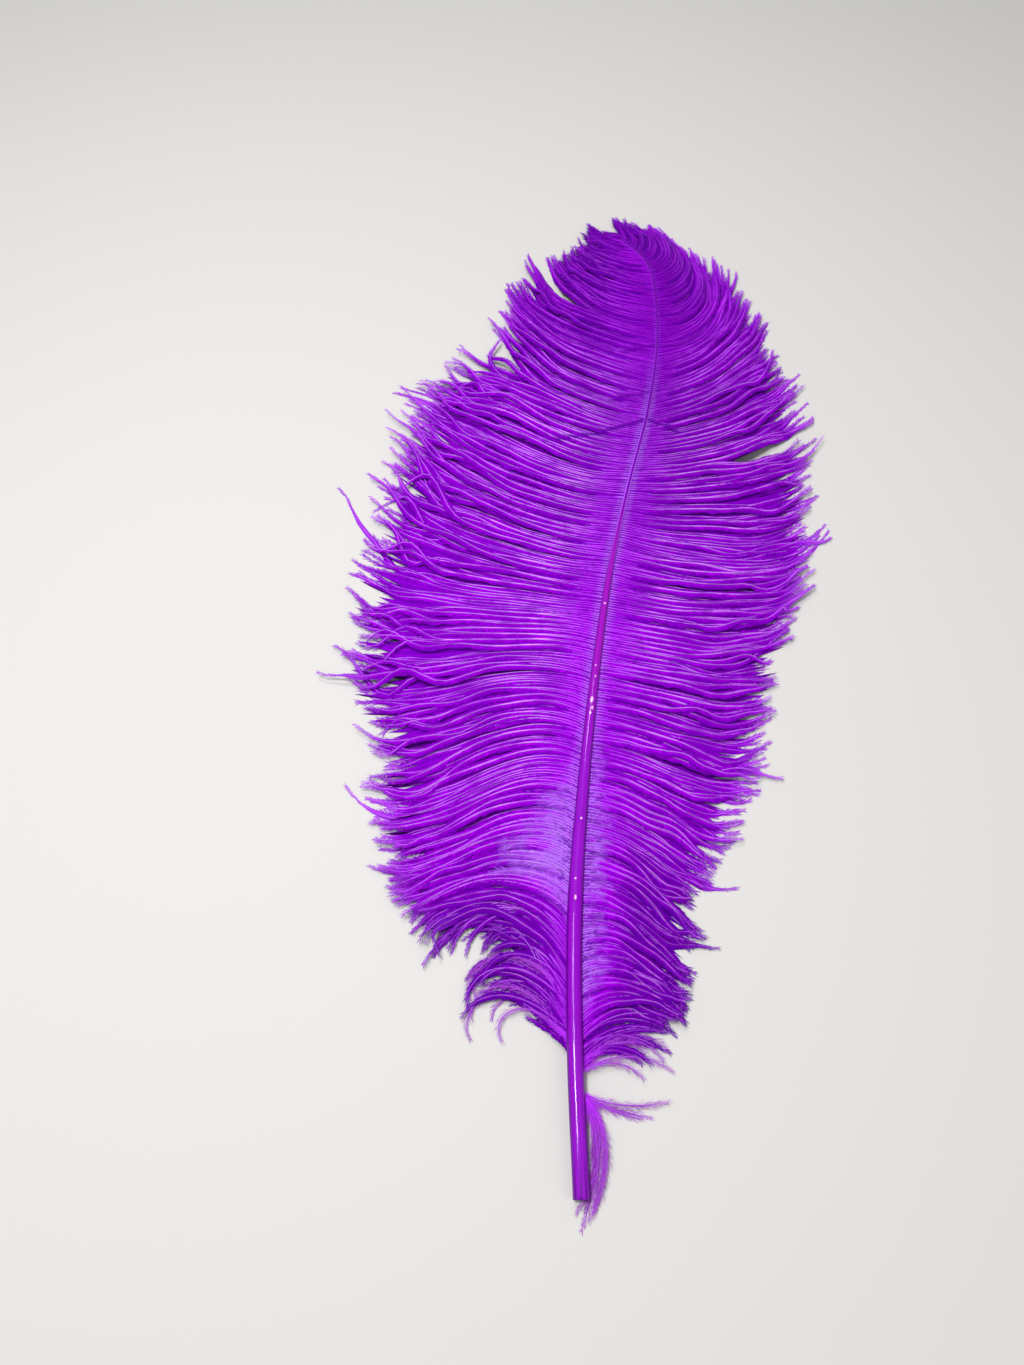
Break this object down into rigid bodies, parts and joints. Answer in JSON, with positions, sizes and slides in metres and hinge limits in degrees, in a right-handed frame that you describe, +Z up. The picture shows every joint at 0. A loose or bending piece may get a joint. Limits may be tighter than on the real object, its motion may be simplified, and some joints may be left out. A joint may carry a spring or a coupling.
{
  "type": "ostrich feather",
  "caption": "Dyed ostrich wing plume for decoration, lying flat: a bare glossy quill, a tapering arched shaft and soft drooping vanes whose barbs cling in ragged locks.",
  "frame": {"origin": "centre of the plume's bounding box, on the surface that it lies on", "axes": "+Z up from the surface, +Y along the plume from the cut end of the quill towards the tip, +X to the right seen from above"},
  "size_m": [0.2826, 0.607, 0.0235],
  "materials": {
    "barbs": "dyed purple barbs with soft barbules, satin, paler towards the shaft and at the fuzzy ends",
    "quill": "dyed magenta purple horn, smooth and glossy, with small scuffs where the dye is worn off"
  },
  "bodies": {
    "root": {"feather": "barbs"}
  },
  "joints": []
}
